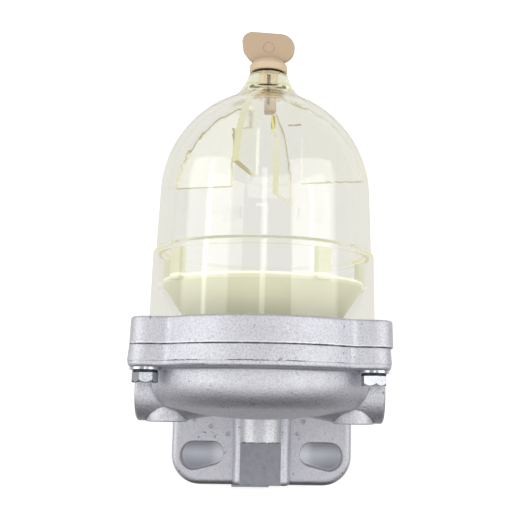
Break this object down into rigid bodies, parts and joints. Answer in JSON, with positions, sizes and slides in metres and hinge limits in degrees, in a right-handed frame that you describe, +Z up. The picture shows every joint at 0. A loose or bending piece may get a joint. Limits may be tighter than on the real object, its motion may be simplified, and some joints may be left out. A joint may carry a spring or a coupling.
{
  "type": "fuel water separator",
  "caption": "Wall-hung fuel water separator: cast head with two ports and a slotted bracket, clamp ring, clear bowl with a diffuser cone, and a drain plug that unscrews.",
  "frame": {"origin": "midway between the two bracket slots, on the rear face of the bracket plate that bears on the wall", "axes": "+Z up with the bowl hanging down, +Y into the wall, +X to the right of a viewer who faces the wall"},
  "size_m": [0.1184, 0.1186, 0.2287],
  "materials": {
    "cast_metal": "as cast, lightly blasted",
    "clear_bowl": "clear moulded plastic with a pale yellow tint",
    "cream_plastic": "satin moulded nylon",
    "tan_plastic": "satin moulded plastic",
    "seal_rubber": "smooth black rubber",
    "zinc_steel": "bright zinc plate"
  },
  "bodies": {
    "housing": {"head": "cast_metal", "clamp_ring": "cast_metal", "bowl_seal": "seal_rubber", "bowl": "clear_bowl", "diffuser_cone": "cream_plastic", "spigot_seal": "seal_rubber", "bolt_front_left": "zinc_steel", "bolt_front_right": "zinc_steel", "bolt_rear_left": "zinc_steel", "bolt_rear_right": "zinc_steel", "spring_washer_front_left": "zinc_steel", "spring_washer_front_right": "zinc_steel", "spring_washer_rear_left": "zinc_steel", "spring_washer_rear_right": "zinc_steel", "flat_washer_front_left": "zinc_steel", "flat_washer_front_right": "zinc_steel", "flat_washer_rear_left": "zinc_steel", "flat_washer_rear_right": "zinc_steel"},
    "sliding_seal": {"drain_seal": "seal_rubber"},
    "plug": {"drain_plug": "tan_plastic"}
  },
  "joints": [
    {"name": "drain_travel", "type": "slide", "parent": "housing", "child": "sliding_seal", "axis": [0, 0, -1], "range_m": [0, 0.0045]},
    {"name": "drain_turn", "type": "hinge", "parent": "sliding_seal", "child": "plug", "pos_m": [0, -0.06, -0.19], "axis": [0, 0, -1], "range_deg": [0, 1080]}
  ],
  "couplings": [
    {"joint": "drain_travel", "follows": "drain_turn", "m_per_rad": 0.00023873}
  ]
}
